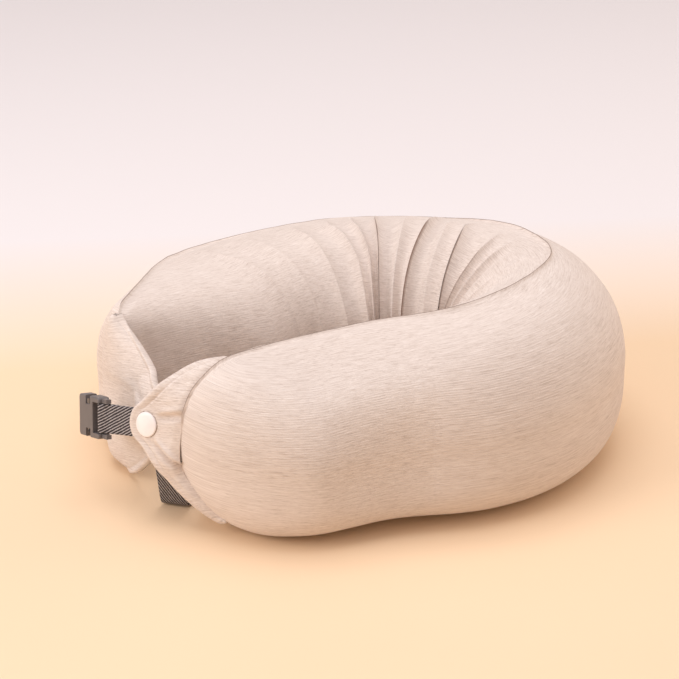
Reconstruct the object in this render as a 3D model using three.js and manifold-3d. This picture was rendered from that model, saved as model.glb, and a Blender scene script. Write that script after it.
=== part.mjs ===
// A U shaped travel neck pillow: a bead-filled jersey bolster that curls round on itself and
// closes at the front with a snap on two flaps, with a webbing strap and half a side-release
// buckle on each flap. Millimetres, +Z up, the front closure at -X, the back of the neck at +X.
import * as THREE from 'three';
import { mergeVertices } from 'three/addons/utils/BufferGeometryUtils.js';
import Module from 'manifold-3d';

const wasm = await Module();
wasm.setup();

// ---------------------------------------------------------------- driving dimensions
// The bolster's centreline in plan: a start point at the near tip, and four arcs in a row.
const LINE_START = new THREE.Vector2(-104, -67);
const LINE_HEADING = 16;
const LINE_ARCS = [
  { radius: -222, length: 123 },
  { radius: 67.5, length: 150 },
  { radius: 106, length: 172 },
  { radius: 260, length: 113 },
];
const LINE_LENGTH = LINE_ARCS.reduce((sum, arc) => sum + arc.length, 0);

const ARM_HALF_WIDTH = 54;
const BACK_HALF_WIDTH = 46;
const ARM_HALF_HEIGHT = 43.5;
const BACK_HALF_HEIGHT = 51;
const BACK_MIDDLE = 246; // distance along the centreline to the middle of the back
const BACK_REACH = 246; // distance over which the back's section fades into the arms'
const CROWN_POWER = 1.94; // superellipse powers of the section's upper and lower halves
const BASE_POWER = 3.4;
const NEAR_TAPER = 54; // length of the rounded near end
const FAR_TAPER = 100; // length of the wedge-shaped far end
const SEAM_BOW = 28; // how far the end seam bows out past its corners
const TIP_HALF_WIDTH = 6; // the panels stop where the end is this thin

const NEAR_CUT = 170; // where the pillow bends open, measured along the centreline
const FAR_CUT = 300;
const CUT_GAP = 0.6;

const COVER = { outer: 0, inner: 1.4 }; // layers, as depths below the cover's surface
const LINER = { outer: 1.9, inner: 2.7 };
const FILL_DEPTH = 3.2;
const TOP_SEAM_ANGLE = 100; // the inner panel is the narrower one
const BOTTOM_SEAM_ANGLE = -100;
const SEAM_GAP = 0.5; // half the seam's gap, in degrees

// The flaps: top corner, bottom corner and end seam middle of each, and its snap.
const NEAR_FLAP = {
  name: 'near',
  top: new THREE.Vector3(-79, -53, 85),
  bottom: new THREE.Vector3(-97, -71, 7),
  seam: new THREE.Vector3(-108, -62, 45),
  snap: new THREE.Vector3(-124.5, -42, 52.5),
  facing: 1, // +1: the apex points along the near strap's direction, -1: against it
  hingeAlong: -16.5, // the swing hinge's distance from the snap along the same direction
  flat: 14, // the flap is flat this far round the snap
  bulge: 2,
  upperBow: [3, 14], // how far the hem bows out beside the apex, along and across the strap
  lowerBow: [2.4, -9],
};
const SNAP_AXIS = new THREE.Vector3(-0.8, -0.55, 0.24).normalize();
const FLAP_STACK = 9.6; // from the near flap's middle to the far flap's, along the snap
const FAR_FLAP = {
  name: 'far',
  top: new THREE.Vector3(-122.5, 19, 87),
  bottom: new THREE.Vector3(-122.5, -1, 4),
  seam: new THREE.Vector3(-131, -10, 40),
  snap: NEAR_FLAP.snap.clone().addScaledVector(SNAP_AXIS, -FLAP_STACK),
  facing: -1,
  hingeAlong: 13,
  flat: 22,
  bulge: 2,
  upperBow: [-8.7, 1],
  lowerBow: [-4, -5],
};
const LAYER = 0.9; // jersey layer in a flap
const POCKET = 1.7; // room between a flap's two layers, which the webbing's tail fills
const FLAP_HALF = LAYER + POCKET / 2;
const APEX_RADIUS = 12; // the hem's rounded apex, centred on the snap
const FLAT_FADE = 16; // over this distance a flap leaves the plane it has round the snap
const FLAP_EDGE = 0.05; // share of the end seam left free at each corner
const FLAP_ROWS = 8;
const FLAP_COLUMNS = 12;

const CAP_RADIUS = 6.4;
const CAP_HEIGHT = 2;
const PIN_RADIUS = 1.2;
const PIN_HOLE = 1.8;
const SOCKET_RADIUS = 5.4;
const SOCKET_HEIGHT = 2.6;
const SOCKET_MOUTH = 2.6;
const SOCKET_DEPTH = 1.6;
const STUD_RADIUS = 2;
const STUD_BASE = 1;
const TOUCH = 0.3; // clearance between pieces that meet

const WEB_WIDTH = 15;
const WEB = 1.1;
const BEND_GAP = 0.85; // from a tail's end to the line where its strap bends
const TAIL_START = 3.8; // a tail starts this far from the snap's middle, clear of its pin
const STRAP_DIRECTION = new THREE.Vector3(-0.59, 0.79, -0.15);
const NEAR_STRAP_LENGTH = 17; // from the bend to the buckle's bar
const FAR_EXIT = 18; // the far strap leaves its flap this far below the snap
const GROUND_GAP = 0.6; // the lying webbing's height over the ground
const FAR_ASIDE = -4; // the far strap's middle lies beside the snap
const FAR_STRAP_HEADING = 55; // direction of the far strap along the ground, degrees
const DOUBLED = 8; // length of webbing sewn on itself next to a bar
const EYE = 1.6; // inner radius of the webbing's loop round a bar

const BAR_RADIUS = 1.3;
const BUCKLE_WIDTH = 21.5;
const BUCKLE_THICK = 6.6;
const SLOT = 3.6; // webbing slot between the bar and the buckle's body
const SLOT_WIDTH = 16;
const SOCKET_BODY = 14; // length of the socket's body, from the slot to its mouth
const SOCKET_WALL = 2;
const SOCKET_TURN = 20; // the socket half turns inwards on its bar, in degrees
const CHEEK_LENGTH = 6; // the socket's side rails run this far past the bar
const MOUTH_WIDTH = 17.5;
const MOUTH_HEIGHT = 4;
const NOTCH_LENGTH = 4.4; // the side windows that the latch arms catch in
const NOTCH_DEPTH = 4.6;
const NOTCH_START = 2.6;
const PLUG_BASE = 4;
const TONGUE_LENGTH = 12;
const TONGUE_WIDTH = 5;
const PRONG_THICK = 3.4;
const LATCH_WIDTH = 2.4;
const LATCH_LENGTH = 12.5;
const LATCH_OFFSET = 7;
const BARB = 2;

const COLOURS = {
  jersey: 0xd8c3b1,
  liner: 0xf2efe9,
  beads: 0xf7f6f2,
  webbing: 0x4a4546,
  buckle: 0x4b4746,
  cap: 0xeadbd6,
};

// ---------------------------------------------------------------- helpers
const group = new THREE.Group();

function material(colour, roughness = 0.9, metalness = 0) {
  return new THREE.MeshStandardMaterial({ color: colour, roughness, metalness });
}

function add(name, geometry, colour, roughness) {
  const mesh = new THREE.Mesh(geometry, material(colour, roughness));
  mesh.name = name;
  group.add(mesh);
  return mesh;
}

function solid(geometry) {
  const bare = geometry.clone();
  bare.deleteAttribute('normal');
  bare.deleteAttribute('uv');
  const merged = mergeVertices(bare, 1e-4);
  return new wasm.Manifold(new wasm.Mesh({
    numProp: 3,
    vertProperties: Float32Array.from(merged.attributes.position.array),
    triVerts: Uint32Array.from(merged.index.array),
  }));
}

function geometryOf(manifold) {
  const mesh = manifold.getMesh();
  const geometry = new THREE.BufferGeometry();
  geometry.setAttribute('position', new THREE.BufferAttribute(mesh.vertProperties, 3));
  geometry.setIndex(new THREE.BufferAttribute(mesh.triVerts, 1));
  return geometry;
}

function grid(rows, columns, point) {
  const points = [];
  for (let i = 0; i <= rows; i++) {
    for (let j = 0; j <= columns; j++) points.push(point(i / rows, j / columns));
  }
  return points;
}

function fromTriangles(points, faces) {
  const geometry = new THREE.BufferGeometry();
  const flat = points.flatMap((p) => [p.x, p.y, p.z]);
  geometry.setAttribute('position', new THREE.Float32BufferAttribute(flat, 3));
  geometry.setIndex(faces);
  return geometry;
}

// A closed sheet between two grids of points, front facing out of its own side.
function sheet(rows, columns, front, back) {
  const points = [...grid(rows, columns, front), ...grid(rows, columns, back)];
  const offset = (rows + 1) * (columns + 1);
  const at = (i, j, side) => side * offset + i * (columns + 1) + j;
  const faces = [];
  const quad = (a, b, c, d) => faces.push(a, b, c, a, c, d);
  for (let i = 0; i < rows; i++) {
    for (let j = 0; j < columns; j++) {
      quad(at(i, j, 0), at(i + 1, j, 0), at(i + 1, j + 1, 0), at(i, j + 1, 0));
      quad(at(i, j, 1), at(i, j + 1, 1), at(i + 1, j + 1, 1), at(i + 1, j, 1));
    }
    quad(at(i, 0, 0), at(i, 0, 1), at(i + 1, 0, 1), at(i + 1, 0, 0));
    quad(at(i, columns, 0), at(i + 1, columns, 0), at(i + 1, columns, 1), at(i, columns, 1));
  }
  for (let j = 0; j < columns; j++) {
    quad(at(0, j, 0), at(0, j + 1, 0), at(0, j + 1, 1), at(0, j, 1));
    quad(at(rows, j, 0), at(rows, j, 1), at(rows, j + 1, 1), at(rows, j + 1, 0));
  }
  return fromTriangles(points, faces);
}

// The side faces of a tube through rings of points. Its ends are closed afterwards.
function ringsSolid(rings) {
  const count = rings[0].length;
  const points = rings.flat();
  const faces = [];
  for (let i = 0; i < rings.length - 1; i++) {
    for (let j = 0; j < count; j++) {
      const k = (j + 1) % count;
      const [a, b] = [i * count + j, i * count + k];
      const [c, d] = [(i + 1) * count + k, (i + 1) * count + j];
      faces.push(a, c, b, a, d, c);
    }
  }
  return { points, faces, count, rings: rings.length };
}

function cap(body, ringIndex, forward) {
  const start = ringIndex * body.count;
  for (let j = 1; j < body.count - 1; j++) {
    if (forward) body.faces.push(start, start + j + 1, start + j);
    else body.faces.push(start, start + j, start + j + 1);
  }
}

// ---------------------------------------------------------------- the bolster
function centre(along) {
  const place = LINE_START.clone();
  let heading = THREE.MathUtils.degToRad(LINE_HEADING);
  let left = along;
  for (const arc of LINE_ARCS) {
    const step = Math.min(left, arc.length);
    const next = heading + step / arc.radius;
    place.x += arc.radius * (Math.sin(next) - Math.sin(heading));
    place.y -= arc.radius * (Math.cos(next) - Math.cos(heading));
    heading = next;
    left -= step;
    if (left <= 0) break;
  }
  return { place, heading };
}

function backShare(along) {
  const t = THREE.MathUtils.clamp((along - BACK_MIDDLE) / BACK_REACH, -1, 1);
  return Math.cos(Math.PI * t / 2) ** 2;
}

function halfSizes(along) {
  const share = backShare(along);
  const height = THREE.MathUtils.lerp(ARM_HALF_HEIGHT, BACK_HALF_HEIGHT, share);
  let width = THREE.MathUtils.lerp(ARM_HALF_WIDTH, BACK_HALF_WIDTH, share);
  const nearLeft = Math.min(1, along / NEAR_TAPER);
  const farLeft = Math.min(1, (LINE_LENGTH - along) / FAR_TAPER);
  width *= Math.sqrt(1 - (1 - nearLeft) ** 2) * farLeft ** 0.8;
  const bow = Math.min(1, along / SEAM_BOW, (LINE_LENGTH - along) / SEAM_BOW);
  return { width, height, outline: height * Math.sqrt(1 - (1 - bow) ** 2) };
}

const power = (value, exponent) => Math.sign(value) * Math.abs(value) ** exponent;

// A point of the bolster: distance along it, angle round it from the outer side, and depth.
function bolster(along, angle, depth) {
  const { place, heading } = centre(along);
  const { width, height, outline } = halfSizes(along);
  const a = THREE.MathUtils.degToRad(angle);
  const exponent = 2 / (Math.sin(a) > 0 ? CROWN_POWER : BASE_POWER);
  const across = power(Math.cos(a), exponent) * (width - depth);
  const up = power(Math.sin(a), exponent) * (outline - depth);
  const x = place.x + across * Math.sin(heading);
  const y = place.y - across * Math.cos(heading);
  return new THREE.Vector3(x, y, height + up);
}

function tipDistance(fromFarEnd) {
  let d = 0;
  const width = () => halfSizes(fromFarEnd ? LINE_LENGTH - d : d).width;
  while (width() < TIP_HALF_WIDTH) d += 0.25;
  return fromFarEnd ? LINE_LENGTH - d : d;
}

const SEGMENTS = [
  { name: 'near', from: tipDistance(false), to: NEAR_CUT - CUT_GAP, steps: 9, tip: 'from' },
  { name: 'back', from: NEAR_CUT + CUT_GAP, to: FAR_CUT - CUT_GAP, steps: 7, tip: null },
  { name: 'far', from: FAR_CUT + CUT_GAP, to: tipDistance(true), steps: 11, tip: 'to' },
];

// Stations crowd towards a tip, where the section changes fastest.
function station(segment, t) {
  let share = t;
  if (segment.tip === 'from') share = t ** 1.5;
  if (segment.tip === 'to') share = 1 - (1 - t) ** 1.4;
  return THREE.MathUtils.lerp(segment.from, segment.to, share);
}

function panel(segment, fromAngle, toAngle, columns) {
  const at = (depth) => (t, u) => {
    const angle = THREE.MathUtils.lerp(fromAngle, toAngle, u);
    return bolster(station(segment, t), angle, depth);
  };
  return sheet(segment.steps, columns, at(COVER.outer), at(COVER.inner));
}

// Every layer is sampled at the same stations and angles, so that their flats stay parallel.
const OUTER_COLUMNS = 11;
const INNER_COLUMNS = 9;
const RING_ANGLES = [];
for (let j = 0; j < OUTER_COLUMNS; j++) {
  RING_ANGLES.push(THREE.MathUtils.lerp(BOTTOM_SEAM_ANGLE, TOP_SEAM_ANGLE, j / OUTER_COLUMNS));
}
for (let j = 0; j < INNER_COLUMNS; j++) {
  const share = j / INNER_COLUMNS;
  RING_ANGLES.push(THREE.MathUtils.lerp(TOP_SEAM_ANGLE, 360 + BOTTOM_SEAM_ANGLE, share));
}

// A tube of the bolster's rings at one depth, leaving out some rings at its tip.
function tube(segment, depth, skip = 0) {
  const first = segment.tip === 'from' ? skip : 0;
  const last = segment.steps - (segment.tip === 'to' ? skip : 0);
  const rings = [];
  for (let i = first; i <= last; i++) {
    const along = station(segment, i / segment.steps);
    rings.push(RING_ANGLES.map((angle) => bolster(along, angle, depth)));
  }
  return ringsSolid(rings);
}

function beadFill(segment) {
  const body = tube(segment, FILL_DEPTH, 2);
  cap(body, 0, false);
  cap(body, body.rings - 1, true);
  return fromTriangles(body.points, body.faces);
}

// The liner bag: two tubes, joined at the cut ends; the tip end is closed with two caps.
function linerBag(segment) {
  const outer = tube(segment, LINER.outer);
  const inner = tube(segment, LINER.inner, 1);
  const { count } = outer;
  const offset = outer.points.length;
  const body = { points: [...outer.points, ...inner.points], faces: [...outer.faces], count };
  for (let i = 0; i < inner.faces.length; i += 3) {
    const [a, b, c] = inner.faces.slice(i, i + 3);
    body.faces.push(offset + a, offset + c, offset + b);
  }
  const ends = [
    { name: 'from', outer: 0, inner: outer.rings },
    { name: 'to', outer: outer.rings - 1, inner: outer.rings + inner.rings - 1 },
  ];
  for (const end of ends) {
    const forward = end.name === 'to';
    if (segment.tip === end.name) {
      cap(body, end.outer, forward);
      cap(body, end.inner, !forward);
      continue;
    }
    for (let j = 0; j < count; j++) {
      const k = (j + 1) % count;
      const [a, b] = [end.outer * count + j, end.outer * count + k];
      const [c, d] = [end.inner * count + k, end.inner * count + j];
      if (forward) body.faces.push(a, c, b, a, d, c);
      else body.faces.push(a, b, c, a, c, d);
    }
  }
  return fromTriangles(body.points, body.faces);
}

for (const segment of SEGMENTS) {
  const prefix = segment.name === 'back' ? 'back' : `${segment.name}_arm`;
  const [low, high] = [BOTTOM_SEAM_ANGLE, TOP_SEAM_ANGLE];
  const outer = panel(segment, low + SEAM_GAP, high - SEAM_GAP, OUTER_COLUMNS);
  const inner = panel(segment, high + SEAM_GAP, 360 + low - SEAM_GAP, INNER_COLUMNS);
  add(`${prefix}_outer_panel`, outer, COLOURS.jersey);
  add(`${prefix}_inner_panel`, inner, COLOURS.jersey);
  add(`${prefix}_liner`, linerBag(segment), COLOURS.liner);
  add(`${prefix}_bead_fill`, beadFill(segment), COLOURS.beads);
}

// ---------------------------------------------------------------- the flaps
// Directions at the snap: out of the flap, along the strap, and across the strap, upwards.
const OUT = SNAP_AXIS;
const ALONG = STRAP_DIRECTION.clone().addScaledVector(OUT, -STRAP_DIRECTION.dot(OUT)).normalize();
const ACROSS = ALONG.clone().cross(OUT).normalize();

function fromSnap(flap, along, across, out = 0) {
  return flap.snap.clone().addScaledVector(ALONG, along).addScaledVector(ACROSS, across)
    .addScaledVector(OUT, out);
}

// The hem runs from the bottom corner round the apex, an arc about the snap, to the top corner.
function hemCurve(flap) {
  const beside = (corner, [along, across]) => corner.clone().lerp(flap.snap, 0.45)
    .addScaledVector(ALONG, along).addScaledVector(ACROSS, across);
  const points = [flap.bottom, beside(flap.bottom, flap.lowerBow)];
  for (const degrees of [-65, -35, 0, 35, 65]) {
    const a = THREE.MathUtils.degToRad(degrees);
    points.push(fromSnap(flap, flap.facing * APEX_RADIUS * Math.cos(a), APEX_RADIUS * Math.sin(a)));
  }
  points.push(beside(flap.top, flap.upperBow), flap.top);
  return new THREE.CatmullRomCurve3(points, false, 'centripetal');
}

function endSeam(flap) {
  const control = flap.seam.clone().multiplyScalar(2);
  control.addScaledVector(flap.bottom, -0.5).addScaledVector(flap.top, -0.5);
  return new THREE.QuadraticBezierCurve3(flap.bottom, control, flap.top);
}

// The middle surface of a flap, from the end seam at u = 0 to the hem at u = 1; it is flat
// round the snap.
function flapSurface(flap) {
  const hem = hemCurve(flap);
  const seam = endSeam(flap);
  return (u, v) => {
    const point = seam.getPoint(v).lerp(hem.getPointAt(v), u);
    point.addScaledVector(OUT, 4 * flap.bulge * u * (1 - u));
    const away = point.clone().sub(flap.snap);
    const flat = 1 - THREE.MathUtils.smoothstep(away.length(), flap.flat, flap.flat + FLAT_FADE);
    return point.addScaledVector(OUT, -away.dot(OUT) * flat);
  };
}

function flapSheet(flap, low, high) {
  const surface = flapSurface(flap);
  const step = 0.02;
  const at = (height) => (u, s) => {
    const v = THREE.MathUtils.lerp(FLAP_EDGE, 1 - FLAP_EDGE, s);
    const du = surface(Math.min(1, u + step), v).sub(surface(Math.max(0, u - step), v));
    const dv = surface(u, v + step).sub(surface(u, v - step));
    const normal = du.cross(dv).normalize();
    if (normal.dot(OUT) < 0) normal.negate();
    return surface(u, v).addScaledVector(normal, height);
  };
  const [front, back] = flap.facing > 0 ? [low, high] : [high, low];
  return solid(sheet(FLAP_ROWS, FLAP_COLUMNS, at(front), at(back)));
}

// Turns local x, y, z into three directions from an origin.
function placed(geometry, origin, x, y, z) {
  const turn = new THREE.Matrix4().makeBasis(x, y, z).setPosition(origin);
  return geometry.applyMatrix4(turn);
}

// A block that holds everything on one side of a flap's hinge plane.
function besideHinge(flap, along) {
  const size = 200;
  const block = new THREE.BoxGeometry(size, size, size);
  block.translate(along * (size / 2 + TOUCH / 2), 0, 0);
  const middle = fromSnap(flap, flap.hingeAlong, 0);
  return solid(placed(block, middle, ALONG, ACROSS, OUT.clone().negate()));
}

// Keeps the biggest of the separate bodies that a cut leaves.
function largest(manifold) {
  const bodies = manifold.decompose();
  return bodies.reduce((best, body) => (body.volume() > best.volume() ? body : best));
}

function segmentEnvelope(segment) {
  const body = tube(segment, -TOUCH - 0.1);
  cap(body, 0, false);
  cap(body, body.rings - 1, true);
  return solid(fromTriangles(body.points, body.faces));
}

// A shape turned about the snap's axis; its profile is given as radius and height.
function turned(flap, profile, sides = 24) {
  const points = profile.map(([radius, height]) => new THREE.Vector2(radius, height));
  const geometry = new THREE.LatheGeometry(points, sides);
  return solid(placed(geometry, flap.snap, ALONG, OUT, ACROSS));
}

for (const flap of [NEAR_FLAP, FAR_FLAP]) {
  const tubeEnd = segmentEnvelope(SEGMENTS.find((segment) => segment.name === flap.name));
  const whole = flapSheet(flap, -FLAP_HALF, FLAP_HALF).subtract(tubeEnd);
  const root = whole.intersect(besideHinge(flap, -flap.facing));
  add(`${flap.name}_flap_root`, geometryOf(largest(root)), COLOURS.jersey);
  const [low, high] = [-FLAP_HALF - 1, FLAP_HALF + 1];
  const hole = turned(flap, [[0, low], [PIN_HOLE, low], [PIN_HOLE, high], [0, high]], 12);
  const layers = { inner: [-FLAP_HALF, -POCKET / 2], outer: [POCKET / 2, FLAP_HALF] };
  for (const [layer, [from, to]] of Object.entries(layers)) {
    const cloth = flapSheet(flap, from, to).subtract(tubeEnd).subtract(hole);
    const tip = cloth.intersect(besideHinge(flap, flap.facing));
    add(`${flap.name}_flap_${layer}_layer`, geometryOf(largest(tip)), COLOURS.jersey);
  }
}

// ---------------------------------------------------------------- the snap
{
  const outside = FLAP_HALF + TOUCH;
  const socketRim = -outside - SOCKET_HEIGHT;
  const capProfile = [
    [0, TOUCH - outside], [PIN_RADIUS, TOUCH - outside], [PIN_RADIUS, outside],
    [CAP_RADIUS - 0.5, outside], [CAP_RADIUS, outside + 0.5], [CAP_RADIUS - 0.3, outside + 1.1],
    [CAP_RADIUS - 1.6, outside + 1.7], [CAP_RADIUS / 2, outside + CAP_HEIGHT - 0.1],
    [0, outside + CAP_HEIGHT],
  ];
  const socketProfile = [
    [0, socketRim + SOCKET_DEPTH], [SOCKET_MOUTH, socketRim + SOCKET_DEPTH],
    [SOCKET_MOUTH, socketRim], [SOCKET_RADIUS - 0.8, socketRim],
    [SOCKET_RADIUS, socketRim + 0.8], [SOCKET_RADIUS, -outside], [0, -outside],
  ];
  add('snap_cap', geometryOf(turned(NEAR_FLAP, capProfile)), COLOURS.cap);
  add('snap_socket', geometryOf(turned(NEAR_FLAP, socketProfile)), COLOURS.cap);

  const noseTop = FLAP_STACK + socketRim - TOUCH;
  const baseTop = outside + STUD_BASE;
  const studProfile = [
    [0, outside], [SOCKET_RADIUS, outside], [SOCKET_RADIUS, baseTop], [STUD_RADIUS, baseTop],
    [STUD_RADIUS + 0.2, noseTop - 0.5], [STUD_RADIUS - 0.4, noseTop], [0, noseTop],
  ];
  const postProfile = [
    [0, -outside - 1.6], [CAP_RADIUS - 1, -outside - 1.3], [CAP_RADIUS, -outside - 0.6],
    [CAP_RADIUS - 0.4, -outside], [PIN_RADIUS, -outside], [PIN_RADIUS, outside - TOUCH],
    [0, outside - TOUCH],
  ];
  add('snap_stud', geometryOf(turned(FAR_FLAP, studProfile)), COLOURS.cap);
  add('snap_post', geometryOf(turned(FAR_FLAP, postProfile)), COLOURS.cap);
}

// ---------------------------------------------------------------- the straps
// Straps and buckles are drawn with x along the strap, y through it and z across its width.
function boxBetween(low, high) {
  const size = high.map((value, i) => value - low[i]);
  const geometry = new THREE.BoxGeometry(...size);
  return geometry.translate(...low.map((value, i) => value + size[i] / 2));
}

// A band of webbing that follows a line of points drawn in x and y.
function band(points, thickness, width) {
  const left = [];
  const right = [];
  points.forEach((point, i) => {
    const before = points[Math.max(0, i - 1)];
    const after = points[Math.min(points.length - 1, i + 1)];
    const side = after.clone().sub(before).normalize();
    side.set(-side.y, side.x).multiplyScalar(thickness / 2);
    left.push(point.clone().add(side));
    right.unshift(point.clone().sub(side));
  });
  const options = { depth: width, bevelEnabled: false };
  const geometry = new THREE.ExtrudeGeometry(new THREE.Shape([...left, ...right]), options);
  return solid(geometry.translate(0, 0, -width / 2));
}

function barAcross(x, y, radius, width, sides = 20) {
  const geometry = new THREE.CylinderGeometry(radius, radius, width, sides);
  return solid(geometry.rotateX(Math.PI / 2).translate(x, y, 0));
}

// The webbing from its bend to a buckle's bar, sewn back on itself, with an eye round the bar.
function webbing(points) {
  const bar = points[points.length - 1];
  const before = points[points.length - 2];
  const back = before.clone().sub(bar).normalize();
  const seam = bar.clone().addScaledVector(back, DOUBLED + EYE);
  const edge = bar.clone().addScaledVector(back, EYE + WEB / 2);
  return band([...points.slice(0, -1), edge], WEB, WEB_WIDTH)
    .add(band([seam, edge], 2 * WEB, WEB_WIDTH))
    .add(barAcross(points[0].x, points[0].y, WEB / 2, WEB_WIDTH))
    .add(barAcross(bar.x, bar.y, EYE + WEB, WEB_WIDTH))
    .subtract(barAcross(bar.x, bar.y, EYE, WEB_WIDTH + 2));
}

const nearBend = fromSnap(NEAR_FLAP, APEX_RADIUS + BEND_GAP, 0);
const nearTail = boxBetween(
  [TAIL_START, -WEB / 2, -WEB_WIDTH / 2], [APEX_RADIUS, WEB / 2, WEB_WIDTH / 2],
);
const nearFrame = [ALONG, OUT, ACROSS];
add('near_strap_tail', placed(nearTail, NEAR_FLAP.snap, ...nearFrame), COLOURS.webbing);
const nearLine = [new THREE.Vector2(0, 0), new THREE.Vector2(NEAR_STRAP_LENGTH, 0)];
const nearStrap = placed(geometryOf(webbing(nearLine)), nearBend, ...nearFrame);
add('near_strap', nearStrap, COLOURS.webbing);

// The far strap's tail points down in its flap; the strap hangs to the ground and lies on it.
const farTail = boxBetween(
  [TAIL_START, -WEB / 2, -WEB_WIDTH / 2], [FAR_EXIT - BEND_GAP, WEB / 2, WEB_WIDTH / 2],
);
const down = ACROSS.clone().negate();
const farTailFrame = [down, ALONG.clone().cross(down), ALONG];
const farTailTop = fromSnap(FAR_FLAP, FAR_ASIDE, 0);
add('far_strap_tail', placed(farTail, farTailTop, ...farTailFrame), COLOURS.webbing);
const farBend = fromSnap(FAR_FLAP, FAR_ASIDE, -FAR_EXIT);
const farHeading = THREE.MathUtils.degToRad(FAR_STRAP_HEADING);
const inward = new THREE.Vector3(Math.cos(farHeading), Math.sin(farHeading), 0);
const upward = new THREE.Vector3(0, 0, 1);
const farFrame = [inward, upward, inward.clone().cross(upward)];
const farGround = GROUND_GAP + WEB / 2 - farBend.z;
const farLine = [[0, 0], [3, -12], [5.5, -22], [7, farGround + 4.5], [8.6, farGround + 1.6],
  [11.5, farGround + 0.2], [15, farGround], [20, farGround + 1.6], [26, farGround + 2.7]];
const farPoints = farLine.map(([x, y]) => new THREE.Vector2(x, y));
const farStrap = placed(geometryOf(webbing(farPoints)), farBend, ...farFrame);
add('far_strap', farStrap, COLOURS.webbing);

// ---------------------------------------------------------------- the buckle
// Both halves are drawn with the bar at the origin and the mating end towards +x.
function plate(length, halfWidth, corner, thickness) {
  const shape = new THREE.Shape();
  const start = -BAR_RADIUS;
  shape.moveTo(start + corner, -halfWidth);
  shape.lineTo(length - corner, -halfWidth);
  shape.quadraticCurveTo(length, -halfWidth, length, -halfWidth + corner);
  shape.lineTo(length, halfWidth - corner);
  shape.quadraticCurveTo(length, halfWidth, length - corner, halfWidth);
  shape.lineTo(start + corner, halfWidth);
  shape.quadraticCurveTo(start, halfWidth, start, halfWidth - corner);
  shape.lineTo(start, -halfWidth + corner);
  shape.quadraticCurveTo(start, -halfWidth, start + corner, -halfWidth);
  const bevel = 0.7;
  const geometry = new THREE.ExtrudeGeometry(shape, {
    depth: thickness - 2 * bevel, curveSegments: 4, bevelThickness: bevel, bevelSize: bevel,
    bevelOffset: -bevel, bevelSegments: 2,
  });
  geometry.translate(0, 0, bevel - thickness / 2);
  return solid(geometry.rotateX(-Math.PI / 2));
}

function withSlotAndBar(body) {
  const half = SLOT_WIDTH / 2;
  const slot = boxBetween([-BAR_RADIUS - 1, -9, -half], [BAR_RADIUS + SLOT, 9, half]);
  return body.subtract(solid(slot)).add(barAcross(0, 0, BAR_RADIUS, SLOT_WIDTH + 2));
}

function buckleSocket() {
  const bodyStart = BAR_RADIUS + SLOT;
  const end = bodyStart + SOCKET_BODY;
  let body = withSlotAndBar(plate(end, BUCKLE_WIDTH / 2, 2, BUCKLE_THICK));
  const [half, height] = [MOUTH_WIDTH / 2, MOUTH_HEIGHT / 2];
  const mouth = boxBetween([bodyStart + SOCKET_WALL, -height, -half], [end + 1, height, half]);
  body = body.subtract(solid(mouth));
  for (const side of [-1, 1]) {
    const notch = new THREE.BoxGeometry(NOTCH_LENGTH, 12, 2 * NOTCH_DEPTH);
    notch.translate(bodyStart + NOTCH_START + NOTCH_LENGTH / 2, 0, side * BUCKLE_WIDTH / 2);
    body = body.subtract(solid(notch));
    const rail = [SLOT_WIDTH / 2, BUCKLE_WIDTH / 2 - 0.6].map((z) => side * z).sort((a, b) => a - b);
    const cheek = boxBetween([-CHEEK_LENGTH, -1.4, rail[0]], [1, 1.4, rail[1]]);
    body = body.add(solid(cheek));
  }
  return body;
}

function bucklePlug() {
  const bodyStart = BAR_RADIUS + SLOT;
  const baseEnd = bodyStart + PLUG_BASE;
  const half = PRONG_THICK / 2;
  const tongue = boxBetween(
    [baseEnd - 1, -half, -TONGUE_WIDTH / 2], [baseEnd + TONGUE_LENGTH, half, TONGUE_WIDTH / 2],
  );
  return withSlotAndBar(plate(baseEnd, BUCKLE_WIDTH / 2, 2, BUCKLE_THICK)).add(solid(tongue));
}

// A springy latch arm beside the tongue, with a barb at its end.
function latchArm(side) {
  const start = BAR_RADIUS + SLOT + PLUG_BASE + TOUCH;
  const end = start + LATCH_LENGTH;
  const inner = LATCH_OFFSET - LATCH_WIDTH / 2;
  const outer = LATCH_OFFSET + LATCH_WIDTH / 2;
  const outline = [
    [start, inner], [end - 1, inner], [end, inner + 1], [end, outer - 0.6],
    [end - 4, outer + BARB], [end - 5, outer + BARB], [end - 5, outer], [start, outer],
  ];
  const shape = new THREE.Shape(outline.map(([x, y]) => new THREE.Vector2(x, side * y)));
  const options = { depth: PRONG_THICK, bevelEnabled: false };
  const geometry = new THREE.ExtrudeGeometry(shape, options);
  return geometry.translate(0, 0, -PRONG_THICK / 2).rotateX(-Math.PI / 2);
}

const nearBar = nearBend.clone().addScaledVector(ALONG, NEAR_STRAP_LENGTH);
const socketTurn = THREE.MathUtils.degToRad(-SOCKET_TURN);
const socketFrame = nearFrame.map((axis) => axis.clone().applyAxisAngle(ACROSS, socketTurn));
const socket = placed(geometryOf(buckleSocket()), nearBar, ...socketFrame);
add('buckle_socket', socket, COLOURS.buckle);
const farEnd = farPoints[farPoints.length - 1];
const farBar = farBend.clone().addScaledVector(inward, farEnd.x).addScaledVector(upward, farEnd.y);
const plug = placed(geometryOf(bucklePlug()), farBar, ...farFrame);
add('buckle_plug', plug, COLOURS.buckle);
for (const [name, side] of [['latch_arm_left', 1], ['latch_arm_right', -1]]) {
  add(name, placed(latchArm(side), farBar, ...farFrame), COLOURS.buckle);
}

// The origin is the middle of the footprint, at the height of the ground.
const bounds = new THREE.Box3();
for (const mesh of group.children) {
  mesh.geometry.computeBoundingBox();
  bounds.union(mesh.geometry.boundingBox);
}
const middle = bounds.getCenter(new THREE.Vector3());
for (const mesh of group.children) {
  mesh.geometry.translate(-middle.x, -middle.y, -bounds.min.z);
}

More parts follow.
